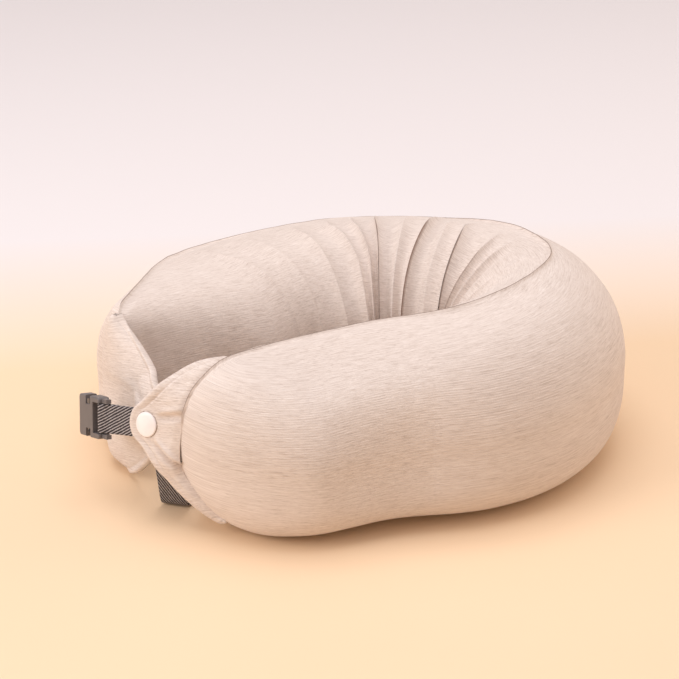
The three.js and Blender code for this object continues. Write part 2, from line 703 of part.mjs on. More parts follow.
group.updateMatrixWorld(true);
export default group;
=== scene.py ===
"""The looks of a U shaped travel neck pillow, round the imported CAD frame.

Shapes are worked out in millimetres and written in metres. The bolster's own coordinates are
the distance along its centreline and the angle round its section, from the outer side.
"""
import math

import bmesh
import bpy
import numpy as np
from mathutils import Matrix, Vector


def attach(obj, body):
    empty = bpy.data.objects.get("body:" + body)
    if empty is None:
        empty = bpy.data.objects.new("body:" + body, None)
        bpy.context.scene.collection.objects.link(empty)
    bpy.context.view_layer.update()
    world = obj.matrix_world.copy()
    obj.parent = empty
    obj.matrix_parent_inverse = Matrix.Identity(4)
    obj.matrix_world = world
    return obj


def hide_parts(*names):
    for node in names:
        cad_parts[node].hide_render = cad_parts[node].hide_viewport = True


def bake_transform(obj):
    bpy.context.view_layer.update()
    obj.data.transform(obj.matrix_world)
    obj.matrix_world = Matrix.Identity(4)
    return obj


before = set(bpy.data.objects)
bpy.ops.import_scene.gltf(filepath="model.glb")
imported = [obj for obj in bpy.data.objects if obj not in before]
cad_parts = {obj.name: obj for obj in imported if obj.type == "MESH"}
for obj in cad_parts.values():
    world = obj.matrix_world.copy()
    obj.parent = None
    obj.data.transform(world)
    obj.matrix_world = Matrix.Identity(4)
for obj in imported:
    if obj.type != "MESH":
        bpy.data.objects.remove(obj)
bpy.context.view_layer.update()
MM = 0.001

# ------------------------------------------------------------------ the shape, as in the CAD
SHIFT = np.array([-1.29797, 11.16872, 0.28776])  # the frame's origin, in drawing millimetres
LINE_START = (-104.0, -67.0)
LINE_HEADING = math.radians(16)
LINE_ARCS = ((-222.0, 123.0), (67.5, 150.0), (106.0, 172.0), (260.0, 113.0))
LENGTH = sum(length for _, length in LINE_ARCS)
ARM_HALF_WIDTH, BACK_HALF_WIDTH = 54.0, 46.0
ARM_HALF_HEIGHT, BACK_HALF_HEIGHT = 43.5, 51.0
BACK_MIDDLE = 246.0  # where the bolster is most like the back, along its centreline
NEAR_TAPER, FAR_TAPER = 54.0, 100.0  # the lengths of the two tapering ends
FAR_TAPER_POWER = 0.8
END_ROUNDING = 28.0  # the length over which the ends round off in height
TOP_POWER, BASE_POWER = 1.94, 3.4  # the section is round above its middle and squarer below
NEAR_CUT, FAR_CUT = 170.0, 300.0
COVER_SPLIT = 238.0  # in the valley of a gather

OUT = Vector((-0.8, -0.55, 0.24)).normalized()
STRAP_DIRECTION = Vector((-0.59, 0.79, -0.15))
ALONG = (STRAP_DIRECTION - OUT * STRAP_DIRECTION.dot(OUT)).normalized()
ACROSS = ALONG.cross(OUT).normalized()
FLAP_STACK = 9.6  # from the near snap to the far one, through both flaps
APEX_RADIUS = 12.0  # the round tip of a flap, about its snap
FLAT_FADE = 16.0  # how slowly a flap leaves the flat round its snap
SNAP_RIM = 6.6  # the thin shadow line round the snap's cap, in the cloth
FAR_AWAY = 0.01  # a mark too far from any seam to be shaded, in metres
SEAM_SHADE = 0.5  # how far from its root a flap is shaded by the arm's end
UNSHADED = 2.0  # the added distance, in millimetres, that leaves a stretch of root unshaded
NEAR = {
    "top": Vector((-79, -53, 85)), "bottom": Vector((-97, -71, 7)),
    "snap": Vector((-124.5, -42, 52.5)),
    "facing": 1, "flat": 14.0, "bulge": 2.0, "fall": 1,
    "upper": (3.0, 11.5), "lower": (2.4, -9.0),
    "cut": (0.045, 0.085),
}
FAR = {
    "top": Vector((-122.5, 19, 87)), "bottom": Vector((-122.5, -1, 4)),
    "snap": NEAR["snap"] - OUT * FLAP_STACK,
    "facing": -1, "flat": 13.0, "bulge": 5.5, "fall": 2,
    "upper": (-8.7, 1.0), "lower": (-4.0, -5.0),
    "cut": (0.080, 0.095),
}
BEND_GAP = 0.85  # from the near flap's tip to the fold of its strap
NEAR_STRAP_LENGTH = 17.0
FAR_EXIT = 18.0  # how far below the far snap its strap leaves the flap
FAR_ASIDE = -4.0
FAR_HEADING = math.radians(55)
WEB_WIDTH, WEB = 15.0, 1.1
BAR_SPACE = 1.6  # from a buckle bar's middle to the webbing round it
TAIL = 9.6  # how far a strap runs past its bar before it is sewn down
LOOP_END = 4.2  # where a strap leaves the loop round its bar


def placed(points):
    """Drawing millimetres to the frame's metres."""
    return (np.asarray(points, float) - SHIFT) * MM


def row(point):
    """One drawing point in the frame, as a vector."""
    return Vector(placed(np.array(point)))


def centreline(s):
    """Place and heading of the bolster's centreline at distances s."""
    s = np.asarray(s, float)
    x = np.full(s.shape, LINE_START[0])
    y = np.full(s.shape, LINE_START[1])
    heading = np.full(s.shape, LINE_HEADING)
    left = s.copy()
    for i, (radius, length) in enumerate(LINE_ARCS):
        low = -1e9 if i == 0 else 0.0
        high = 1e9 if i == len(LINE_ARCS) - 1 else length
        step = np.clip(left, low, high)
        following = heading + step / radius
        x += radius * (np.sin(following) - np.sin(heading))
        y -= radius * (np.cos(following) - np.cos(heading))
        heading = following
        left = np.where(left > length, left - length, 0.0)
    return x, y, heading


def half_sizes(s):
    """Half the section's width and height at distances s, and the height with rounded ends."""
    s = np.asarray(s, float)
    share = np.cos(np.pi / 2 * np.clip((s - BACK_MIDDLE) / BACK_MIDDLE, -1, 1)) ** 2
    height = ARM_HALF_HEIGHT + (BACK_HALF_HEIGHT - ARM_HALF_HEIGHT) * share
    width = ARM_HALF_WIDTH - (ARM_HALF_WIDTH - BACK_HALF_WIDTH) * share
    near = np.clip(s / NEAR_TAPER, 0, 1)
    far = np.clip((LENGTH - s) / FAR_TAPER, 0, 1)
    width = width * np.sqrt(1 - (1 - near) ** 2) * far ** FAR_TAPER_POWER
    bow = np.clip(np.minimum(s, LENGTH - s) / END_ROUNDING, 0, 1)
    return width, height, height * np.sqrt(1 - (1 - bow) ** 2)


def power(value, exponent):
    """A power that keeps the sign."""
    return np.sign(value) * np.abs(value) ** exponent


def bolster(s, angle, depth=0.0):
    """Points of the bolster's surface, in drawing millimetres."""
    s, angle = np.broadcast_arrays(np.asarray(s, float), np.asarray(angle, float))
    x, y, heading = centreline(s)
    width, height, outline = half_sizes(s)
    a = np.radians(angle)
    exponent = np.where(np.sin(a) > 0, 2 / TOP_POWER, 2 / BASE_POWER)
    across = power(np.cos(a), exponent) * np.maximum(width - depth, 0)
    up = power(np.sin(a), exponent) * np.maximum(outline - depth, 0)
    return np.stack([x + across * np.sin(heading), y - across * np.cos(heading), height + up], -1)


# ------------------------------------------------------------------ camera
CAMERA_AZIMUTH, CAMERA_ELEVATION = math.radians(-21.38), math.radians(27.01)
CAMERA_DISTANCE = 1039.7
CAMERA_TILT, CAMERA_PAN = math.radians(3.073), math.radians(0.345)  # in place of a lens shift


def make_camera():
    """The photograph's view: a long lens, a little above the pillow and to its left."""
    azimuth, elevation = CAMERA_AZIMUTH, CAMERA_ELEVATION
    back = Vector((
        math.sin(azimuth) * math.cos(elevation), -math.cos(azimuth) * math.cos(elevation),
        math.sin(elevation),
    ))
    data = bpy.data.cameras.new("camera")
    data.lens, data.sensor_width = 100, 36
    camera = bpy.data.objects.new("camera", data)
    bpy.context.scene.collection.objects.link(camera)
    level = (-back).to_track_quat("-Z", "Y").to_matrix()
    tilt = Matrix.Rotation(CAMERA_TILT, 3, "X") @ Matrix.Rotation(CAMERA_PAN, 3, "Y")
    camera.rotation_mode = "QUATERNION"
    camera.rotation_quaternion = (level @ tilt).to_quaternion()
    camera.location = row(back * CAMERA_DISTANCE)
    data.clip_start, data.clip_end = 0.05, 50
    bpy.context.scene.camera = camera


make_camera()


# ------------------------------------------------------------------ node materials
class Nodes:
    """A small wrapper that makes and links shader nodes by name."""

    def __init__(self, name):
        self.material = bpy.data.materials.new(name)
        self.material.use_nodes = True
        self.tree = self.material.node_tree
        self.tree.nodes.clear()
        self.out = self.tree.nodes.new("ShaderNodeOutputMaterial")
        self.shader = self.tree.nodes.new("ShaderNodeBsdfPrincipled")
        self.tree.links.new(self.shader.outputs[0], self.out.inputs["Surface"])

    def add(self, kind, inputs=None, **settings):
        node = self.tree.nodes.new("ShaderNode" + kind)
        for key, value in settings.items():
            setattr(node, key, value)
        for key, value in (inputs or {}).items():
            self.set(node.inputs[key], value)
        return node

    def set(self, socket, value):
        if isinstance(value, bpy.types.NodeSocket):
            self.tree.links.new(value, socket)
        else:
            socket.default_value = value

    def math(self, operation, a, b=0.0, clamp=False):
        node = self.add("Math", operation=operation, use_clamp=clamp)
        self.set(node.inputs[0], a)
        self.set(node.inputs[1], b)
        return node.outputs[0]

    def mix(self, factor, a, b, blend="MIX"):
        node = self.add("Mix", data_type="RGBA", blend_type=blend)
        self.set(node.inputs[0], factor)
        self.set(node.inputs[6], a)
        self.set(node.inputs[7], b)
        return node.outputs[2]

    def ramp(self, factor, stops):
        node = self.add("ValToRGB", {"Fac": factor})
        elements = node.color_ramp.elements
        while len(elements) < len(stops):
            elements.new(0.5)
        for element, (position, colour) in zip(elements, stops):
            element.position = position
            element.color = colour if len(colour) == 4 else (*colour, 1)
        return node.outputs[0]

    def uv(self, scale=(1, 1, 1), rotation=0.0):
        source = self.add("UVMap", uv_map="UVMap").outputs[0]
        mapping = self.add("Mapping", {"Vector": source, "Scale": scale})
        mapping.inputs["Rotation"].default_value = (0, 0, rotation)
        return mapping.outputs[0]

    def noise(self, vector, scale, detail=2.0, roughness=0.5):
        inputs = {"Vector": vector, "Scale": scale, "Detail": detail, "Roughness": roughness}
        return self.add("TexNoise", inputs).outputs["Fac"]

    def bump(self, height, strength, distance):
        inputs = {"Height": height, "Strength": strength, "Distance": distance}
        self.set(self.shader.inputs["Normal"], self.add("Bump", inputs).outputs[0])


def jersey_material(name):
    """Heathered knit. U runs along the bolster and V across it, both in metres.

    A second UV map holds the distance to a seam, and to the crease of a gather, in metres; the
    colour is darkened near both as painted shade.
    """
    n = Nodes(name)
    streaks = n.noise(n.uv((105, 1400, 1)), 1.0, 2.0, 0.6)
    fine = n.noise(n.uv((360, 2700, 1)), 1.0, 2.0, 0.6)
    clouds = n.noise(n.uv((10, 30, 1)), 1.0, 3.0, 0.5)
    flecks = n.noise(n.uv((300, 1900, 1)), 1.0, 1.0, 0.5)
    tone = n.math("ADD", n.math("MULTIPLY", streaks, 0.50), n.math("MULTIPLY", fine, 0.34))
    tone = n.math("ADD", tone, n.math("MULTIPLY", clouds, 0.16))
    colour = n.ramp(tone, [
        (0.34, (0.555, 0.462, 0.403)), (0.46, (0.700, 0.606, 0.543)),
        (0.56, (0.775, 0.682, 0.620)), (0.70, (0.860, 0.782, 0.726)),
    ])
    dark = n.ramp(flecks, [(0.30, (1, 1, 1)), (0.37, (0, 0, 0))])
    colour = n.mix(n.math("MULTIPLY", dark, 0.34), colour, (0.44, 0.350, 0.300, 1))
    shade_marks = n.add("SeparateXYZ", {"Vector": n.add("UVMap", uv_map="Seam").outputs[0]})
    # painted shade: thin dark lines along the seams and at the bottom of the gather creases
    for distance, far, shade in ((shade_marks.outputs[0], 0.36, (0.36, 0.29, 0.25)),
                                 (shade_marks.outputs[1], 0.60, (0.42, 0.33, 0.29))):
        line = n.ramp(n.math("MULTIPLY", distance, 1000.0), [(0.10, shade), (far, (1, 1, 1))])
        colour = n.mix(1.0, colour, line, "MULTIPLY")
    n.set(n.shader.inputs["Base Color"], colour)
    n.shader.inputs["Roughness"].default_value = 0.92
    n.shader.inputs["Specular IOR Level"].default_value = 0.15
    n.shader.inputs["Sheen Weight"].default_value = 0.22
    n.shader.inputs["Sheen Roughness"].default_value = 0.5
    n.shader.inputs["Sheen Tint"].default_value = (1.0, 0.95, 0.94, 1)
    wales = n.add("TexWave", {"Vector": n.uv((1, 1, 1)), "Scale": 260.0, "Distortion": 1.5,
                              "Detail": 2.0, "Detail Scale": 3.0}, bands_direction="Y")
    relief = n.math("ADD", n.math("MULTIPLY", wales.outputs["Fac"], 0.4), fine)
    n.bump(relief, 0.35, 0.0004)
    return n.material


def plain_cloth_material(name, light, dark):
    """A plain mottled cloth for the liner."""
    n = Nodes(name)
    position = n.add("TexCoord").outputs["Object"]
    mottle = n.noise(position, 300.0, 3.0, 0.6)
    n.set(n.shader.inputs["Base Color"], n.ramp(mottle, [(0.3, dark), (0.7, light)]))
    n.shader.inputs["Roughness"].default_value = 0.9
    n.bump(n.noise(position, 1500.0, 2.0, 0.5), 0.2, 0.0003)
    return n.material


def bead_material():
    """Pale beads packed side by side."""
    n = Nodes("beads")
    position = n.add("TexCoord").outputs["Object"]
    cells = n.add("TexVoronoi", {"Vector": position, "Scale": 900.0}).outputs["Distance"]
    # each bead is pale in its middle and darker towards its edge: painted shade where the beads
    # meet
    stops = [(0.0, (0.93, 0.92, 0.90)), (0.8, (0.72, 0.71, 0.69))]
    n.set(n.shader.inputs["Base Color"], n.ramp(cells, stops))
    n.shader.inputs["Roughness"].default_value = 0.6
    n.bump(cells, 0.5, -0.0006)
    return n.material


def webbing_material():
    """Dark twill. U runs along the strap and V across it, both in metres."""
    n = Nodes("webbing")
    twill = n.add("TexWave", {"Vector": n.uv((1, 1, 1), math.radians(62)), "Scale": 235.0,
                              "Distortion": 1.5, "Detail": 2.0, "Detail Scale": 4.0})
    thread = twill.outputs["Fac"]
    break_up = n.noise(n.uv((900, 900, 1)), 1.0, 2.0, 0.6)
    level = n.math("ADD", n.math("MULTIPLY", thread, 0.75), n.math("MULTIPLY", break_up, 0.35))
    colour = n.ramp(level, [
        (0.38, (0.040, 0.034, 0.036)), (0.60, (0.100, 0.088, 0.090)),
        (0.78, (0.340, 0.305, 0.305)), (0.95, (0.480, 0.445, 0.440)),
    ])
    n.set(n.shader.inputs["Base Color"], colour)
    n.shader.inputs["Roughness"].default_value = 0.75
    n.shader.inputs["Specular IOR Level"].default_value = 0.3
    n.bump(thread, 0.6, 0.0004)
    return n.material


def moulded_material(name, colour, roughness, grain):
    """Moulded plastic with faint patches and a fine grain."""
    n = Nodes(name)
    position = n.add("TexCoord").outputs["Object"]
    patches = n.noise(position, 60.0, 3.0, 0.5)
    light = tuple(min(1.0, c * 1.12) for c in colour)
    dark = tuple(c * 0.9 for c in colour)
    n.set(n.shader.inputs["Base Color"], n.ramp(patches, [(0.3, dark), (0.7, light)]))
    rough = n.math("ADD", n.math("MULTIPLY", patches, 0.1), roughness - 0.05)
    n.set(n.shader.inputs["Roughness"], rough)
    n.bump(n.noise(position, 2500.0, 2.0, 0.5), grain, 0.0001)
    return n.material


def floor_material():
    """A pale warm floor that turns into a paler sweep behind the object."""
    n = Nodes("floor")
    position = n.add("TexCoord").outputs["Object"]
    drift = n.noise(position, 3.0, 2.0, 0.5)
    warm = n.ramp(drift, [(0.3, (0.88, 0.66, 0.44)), (0.7, (0.91, 0.69, 0.47))])
    depth = n.add("SeparateXYZ", {"Vector": position}).outputs[1]
    back = n.ramp(depth, [(0.10, (0, 0, 0)), (0.32, (1, 1, 1))])
    n.set(n.shader.inputs["Base Color"], n.mix(back, warm, (0.83, 0.79, 0.79, 1)))
    n.shader.inputs["Roughness"].default_value = 0.6
    n.shader.inputs["Specular IOR Level"].default_value = 0.2
    return n.material


JERSEY = jersey_material("jersey")
LINER = plain_cloth_material("liner", (0.86, 0.84, 0.80), (0.76, 0.74, 0.70))
BEADS = bead_material()
WEBBING = webbing_material()
BUCKLE = moulded_material("buckle", (0.150, 0.134, 0.134), 0.42, 0.15)
SNAP = moulded_material("snap", (0.93, 0.86, 0.845), 0.34, 0.05)


# ------------------------------------------------------------------ mesh helpers
def make_object(name, points, faces, material, uvs=None, normals=None):
    """A smooth-shaded mesh. uvs holds one pair for each corner of each face."""
    mesh = bpy.data.meshes.new(name)
    mesh.from_pydata([tuple(p) for p in points], [], faces)
    mesh.update()
    mesh.polygons.foreach_set("use_smooth", [True] * len(mesh.polygons))
    if uvs is not None:
        layer = mesh.uv_layers.new(name="UVMap")
        layer.data.foreach_set("uv", np.asarray(uvs, np.float32).ravel())
    mesh.materials.append(material)
    if normals is not None:
        mesh.normals_split_custom_set_from_vertices([tuple(v) for v in normals])
    obj = bpy.data.objects.new(name, mesh)
    bpy.context.scene.collection.objects.link(obj)
    return obj


def add_shade_marks(obj, shade_marks):
    """The map that tells the jersey how far a seam and a crease are, in metres, where it darkens
    as painted shade.
    """
    layer = obj.data.uv_layers.new(name="Seam")
    layer.data.foreach_set("uv", np.asarray(shade_marks, np.float32).ravel())


def weld(obj):
    """Joins points that coincide and turns the faces outwards."""
    mesh = bmesh.new()
    mesh.from_mesh(obj.data)
    bmesh.ops.remove_doubles(mesh, verts=mesh.verts, dist=1e-6)
    bmesh.ops.recalc_face_normals(mesh, faces=mesh.faces)
    mesh.to_mesh(obj.data)
    mesh.free()


def tube_faces(rows, columns):
    """Faces of rows of points that close up, with a lid at each end."""
    faces = []
    for i in range(rows - 1):
        for j in range(columns):
            k = (j + 1) % columns
            faces.append((i * columns + j, i * columns + k,
                          (i + 1) * columns + k, (i + 1) * columns + j))
    faces.append(tuple(reversed(range(columns))))
    faces.append(tuple((rows - 1) * columns + j for j in range(columns)))
    return faces


def grid_normals(points, wrap):
    """Unit normals of a grid of points; wrap says whether the second direction closes up."""
    du = np.gradient(points, axis=0)
    if wrap:
        dv = np.roll(points, -1, 1) - np.roll(points, 1, 1)
    else:
        dv = np.gradient(points, axis=1)
    normal = np.cross(dv, du)
    length = np.linalg.norm(normal, axis=-1, keepdims=True)
    return normal / np.maximum(length, 1e-9)


def smooth(low, high, value):
    """A soft step from 0 at low to 1 at high."""
    t = np.clip((np.asarray(value, float) - low) / (high - low), 0, 1)
    return t * t * (3 - 2 * t)


def wave_noise(u, v, seed, octaves=3):
    """Smooth repeatable noise of two arrays, about -1 to 1."""
    random = np.random.RandomState(seed)
    total = np.zeros(np.broadcast(u, v).shape)
    for octave in range(octaves):
        for _ in range(5):
            angle, phase = random.uniform(0, 2 * np.pi, 2)
            rate = 2 ** octave * random.uniform(0.7, 1.3)
            wave = np.sin(rate * (u * np.cos(angle) + v * np.sin(angle)) + phase)
            total += wave / 2 ** octave
    return total / 4.5


# ------------------------------------------------------------------ the cover
STATIONS_NEAR_TIP, STATIONS_FAR_TIP = 26, 40
OUTER_COLUMNS, INNER_COLUMNS = 124, 104
INNER_WEAVE_LIFT = 3.0  # keeps the weave of the inner panel apart from the outer one, in metres
CROWDING = 0.78  # how much closer together the columns are next to the seams
SEAM_S = (0, 51, 91, 140, 164, 182, 200, 213, 222, 235, 262, 285, 320, 430, 475, 505, 535, 558)
SEAM_TOP = (98, 101, 102, 105, 106, 101, 95, 90, 84, 80, 75, 64, 51, 48, 58, 75, 90, 94)
SEAM_BOTTOM = -100.0
SEAM_EASING = np.linspace(-9, 9, 7)  # the top seam's angle is a mean over these distances

# Gathers where the bolster curls round the neck. Each is a valley: its distance along the
# bolster at three angles (just past the crest, on the inner wall, and low on the inner wall),
# and its depth in millimetres.
GATHER_ANGLES = (92.0, 130.0, 172.0)
GATHERS = (
    (118, 121, 124, 0.5), (136, 138, 140, 0.9), (152, 153, 153, 1.3), (167, 168, 168, 1.6),
    (184, 182, 179, 1.7), (200, 195, 190, 1.6), (218, 208, 202, 1.5), (238, 220, 212, 1.5),
    (250, 238, 230, 1.7), (261, 249, 242, 2.3), (274, 263, 255, 2.9), (297, 283, 268, 3.4),
    (309, 301, 293, 1.6), (319, 318, 316, 3.6), (335, 331, 327, 1.8), (352, 345, 339, 3.6),
    (365, 352, 345, 2.4), (379, 362, 351, 2.0), (398, 386, 374, 1.9), (422, 414, 404, 0.9),
    (447, 441, 433, 0.6),
)
STEEPNESS = 1.5  # how much deeper the folds of the finished cover are than the depths above
GATHER_ROW = 1.35  # the usual distance between two rows of the gathered part, in millimetres
ROW_CROWDING = 0.75  # how much closer together the rows are next to a valley


def crowded(count, amount=CROWDING):
    """Shares from 0 to 1 that lie closer together at both ends."""
    t = np.linspace(0, 1, count + 1)[:-1]
    return t - amount * np.sin(2 * np.pi * t) / (2 * np.pi)


def stations():
    """Distances along the bolster at its crest: one row lies in the valley of each gather."""
    near = 30 * np.linspace(0.06, 1, STATIONS_NEAR_TIP) ** 2
    rows = [near, np.linspace(30, GATHERS[0][0], 60)[1:-1]]
    for left, right in zip(GATHERS[:-1], GATHERS[1:]):
        width = right[0] - left[0]
        rows.append(left[0] + width * crowded(max(6, int(width / GATHER_ROW)), ROW_CROWDING))
    rows.append(np.linspace(GATHERS[-1][0], LENGTH - 60, 38)[:-1])
    rows.append(LENGTH - 60 * np.linspace(1, 0.04, STATIONS_FAR_TIP) ** 2)
    return np.concatenate(rows)


def follow_valleys(s, angle):
    """The rows lean with the gathers: the distance along the bolster at each angle."""
    turn = angle % 360
    bend = np.minimum(turn, 344 - turn)  # the valleys mirror below the inner wall
    at_crest = [90.0] + [valley[0] for valley in GATHERS] + [485.0]
    lines = [np.full(bend.shape, 90.0)]
    lines += [np.interp(bend, GATHER_ANGLES, valley[:3]) for valley in GATHERS]
    lines.append(np.full(bend.shape, 485.0))
    along = np.broadcast_to(s[:, None], angle.shape).copy()
    for low, high, line_low, line_high in zip(at_crest[:-1], at_crest[1:], lines[:-1], lines[1:]):
        inside = (s >= low) & (s < high)
        share = ((s - low) / (high - low))[:, None]
        along[inside] = (line_low + share * (line_high - line_low))[inside]
    return along


def gathers(s, angle, seam):
    """Folds between the gather valleys, the distance to their creases, and their reach.

    The first two are in millimetres. The reach is 1 where the gathers have their full depth.
    """
    turn = angle % 360
    reach = smooth(8, 54, turn - seam[:, None]) * (1 - smooth(236, 268, turn))
    fold = np.zeros(len(s))
    gap = np.full(len(s), 100.0)
    sharp = np.zeros(len(s))
    for left, right in zip(GATHERS[:-1], GATHERS[1:]):
        inside = (s >= left[0]) & (s <= right[0])
        t = np.clip((s - left[0]) / (right[0] - left[0]), 0, 1)
        depth = left[3] + (right[3] - left[3]) * t
        ridge = np.sin(np.pi * t) ** (1.15 - 0.6 * smooth(1.2, 3.2, depth))
        fold = np.where(inside, depth * (1.25 * ridge - 1.0), fold)
    # the nearest valley and its depth set the painted shade line in its crease: deeper gathers get
    # a darker line
    for place, _, _, depth in GATHERS:
        nearer = np.abs(s - place) < gap
        gap = np.where(nearer, np.abs(s - place), gap)
        sharp = np.where(nearer, float(smooth(1.8, 3.2, depth)), sharp)
    # the painted crease shade fades out where the gathers are shallow or out of reach
    crease = gap[:, None] + 2.0 * (1 - sharp[:, None] * reach)
    return fold[:, None] * reach, crease, reach


def cover_angles(s):
    """Angles for each station, spaced evenly round each panel, with the seams on columns."""
    dense = np.linspace(SEAM_BOTTOM, SEAM_BOTTOM + 360, 721)
    section = bolster(s[:, None], dense[None, :])
    steps = np.linalg.norm(np.diff(section, axis=1), axis=-1)
    arc = np.concatenate([np.zeros((len(s), 1)), np.cumsum(steps, 1)], 1)
    seam = np.mean([np.interp(s + d, SEAM_S, SEAM_TOP) for d in SEAM_EASING], 0)
    angles = np.zeros((len(s), OUTER_COLUMNS + INNER_COLUMNS))
    girth = np.zeros_like(angles)
    for i in range(len(s)):
        top = np.interp(seam[i], dense, arc[i])
        outer = top * crowded(OUTER_COLUMNS)
        inner = top + (arc[i, -1] - top) * crowded(INNER_COLUMNS)
        girth[i] = np.concatenate([outer, inner])
        angles[i] = np.interp(girth[i], arc[i], dense)
    return angles, girth, arc[:, -1], seam


TIP_LEAN = np.array([-9.5, 6.5, 0.0])  # the near end leans towards the flap that grows out of it
LEAN_REACH = 45.0
FAR_LEAN = np.array([5.0, 1.5, 0.0])  # the far end stays behind its flap
FAR_REACH = 26.0


def cover_point(s, angle, depth=0.0):
    """The stuffed cover's surface: the bolster, with one-sided ends and the near one leaning."""
    s, angle = np.broadcast_arrays(np.asarray(s, float), np.asarray(angle, float))
    point = bolster(s, angle, depth)
    x, y, heading = centreline(s)
    lateral = (point[..., 0] - x) * np.sin(heading) - (point[..., 1] - y) * np.cos(heading)
    near = 1 - smooth(0, LEAN_REACH, s)
    far = smooth(LENGTH - FAR_REACH, LENGTH - 5, s)
    taken = np.where(lateral < 0, 0.8 * near, 0.7 * far) * lateral
    point[..., 0] -= taken * np.sin(heading)
    point[..., 1] += taken * np.cos(heading)
    return point + near[..., None] * TIP_LEAN + far[..., None] * FAR_LEAN


def grain(s, angle):
    """Distance across the cloth from the middle line of a panel: level lines stay level."""
    width, height, outline = half_sizes(s)
    exponent = np.where(np.sin(np.radians(angle)) > 0, TOP_POWER / 2, BASE_POWER / 2)
    rise = np.sin(np.radians(angle)) * (outline / height)[:, None] ** exponent
    side = np.sign(np.cos(np.radians(angle)))
    level = np.degrees(np.arctan2(rise, side * np.sqrt(1 - rise ** 2)))
    dense = np.linspace(-180, 180, 361)
    a = np.radians(dense)
    power_of = np.where(np.sin(a) > 0, 2 / TOP_POWER, 2 / BASE_POWER)
    across = power(np.cos(a), power_of) * width[:, None]
    up = power(np.sin(a), power_of) * height[:, None]
    steps = np.hypot(np.diff(across, axis=1), np.diff(up, axis=1))
    run = np.concatenate([np.zeros((len(s), 1)), np.cumsum(steps, 1)], 1)
    outer = np.zeros(angle.shape)
    inner = np.zeros(angle.shape)
    for i in range(len(s)):
        at = np.interp(level[i], dense, run[i])
        outer[i] = at - run[i, 180]
        inner[i] = np.where(at < run[i, 180], at + run[i, -1], at) - run[i, -1]
    return outer * MM, inner * MM


CLOTH_STEP = 4  # the simulated copy has every fourth row and column
CLOTH_FRAMES = 14
CLOTH_CAP = 2.2  # how far the simulation may move a point, in millimetres


def cloth_copy(points):
    """A coarse closed mesh of a grid of metres, with both ends closed by fans."""
    rows, columns = points.shape[:2]
    corners = [tuple(p) for p in points.reshape(-1, 3)]
    corners += [tuple(points[0].mean(0)), tuple(points[-1].mean(0))]
    faces = []
    for j in range(columns):
        k = (j + 1) % columns
        for i in range(rows - 1):
            faces.append((i * columns + j, i * columns + k,
                          (i + 1) * columns + k, (i + 1) * columns + j))
        faces.append((rows * columns, k, j))
        faces.append((rows * columns + 1, (rows - 1) * columns + j, (rows - 1) * columns + k))
    mesh = bpy.data.meshes.new("cloth_copy")
    mesh.from_pydata(corners, [], faces)
    mesh.update()
    copy = bpy.data.objects.new("cloth_copy", mesh)
    bpy.context.scene.collection.objects.link(copy)
    return copy


def stuffed_by_cloth(points, normal, body):
    """How far a short cloth simulation under pressure moves each point, in millimetres.

    The seams and both ends are held, and the panels between them swell and settle.
    """
    rows = np.unique(np.append(np.arange(0, points.shape[0], CLOTH_STEP), points.shape[0] - 1))
    columns = np.arange(0, points.shape[1], CLOTH_STEP)
    coarse = placed(points[rows][:, columns])
    copy = cloth_copy(coarse)
    held = copy.vertex_groups.new(name="held")
    count = len(columns)
    for first in range(0, len(rows) * count, count):
        held.add([first, first + OUTER_COLUMNS // CLOTH_STEP], 1.0, "REPLACE")
    ends = list(range(count)) + list(range((len(rows) - 1) * count, len(rows) * count + 2))
    held.add(ends, 1.0, "REPLACE")
    cloth = copy.modifiers.new("cloth", "CLOTH")
    settings = cloth.settings
    settings.quality = 5
    settings.mass = 0.15
    settings.tension_stiffness = 12
    settings.compression_stiffness = 8
    settings.shear_stiffness = 6
    settings.bending_stiffness = 0.3
    settings.vertex_group_mass = "held"
    settings.use_pressure = True
    settings.uniform_pressure_force = 4
    settings.effector_weights.gravity = 0
    scene = bpy.context.scene
    cloth.point_cache.frame_end = CLOTH_FRAMES
    for moment in range(1, CLOTH_FRAMES + 1):
        scene.frame_set(moment)
    result = copy.evaluated_get(bpy.context.evaluated_depsgraph_get()).data
    final = np.zeros(len(result.vertices) * 3)
    result.vertices.foreach_get("co", final)
    moved = final.reshape(-1, 3)[:coarse.shape[0] * coarse.shape[1]].reshape(coarse.shape) - coarse
    scene.frame_set(1)
    bpy.data.objects.remove(copy)
    facing = normal[rows][:, columns]
    swelling = (moved * facing).sum(-1, keepdims=True)
    moved = (moved - facing * swelling.mean(1, keepdims=True)) / MM
    length = np.linalg.norm(moved, axis=-1, keepdims=True)
    moved *= CLOTH_CAP * np.tanh(length / CLOTH_CAP) / np.maximum(length, 1e-9)
    wrapped = np.concatenate([moved, moved[:, :1]], 1)
    places = np.append(columns, points.shape[1])
    every_row, every_column = np.arange(points.shape[0]), np.arange(points.shape[1])
    fine = np.zeros(points.shape)
    for axis in range(3):
        across = np.stack([np.interp(every_column, places, line) for line in wrapped[..., axis]])
        fine[..., axis] = np.stack([np.interp(every_row, rows, line) for line in across.T], 1)
    for _ in range(2):
        padded = np.pad(fine, ((3, 3), (0, 0), (0, 0)), mode="edge")
        fine = (padded[:-6] + padded[1:-5] + padded[3:-3] + padded[5:-1] + padded[6:]) / 5
        fine = (np.roll(fine, -2, 1) + np.roll(fine, 2, 1) + fine) / 3
    return fine * body[..., None]


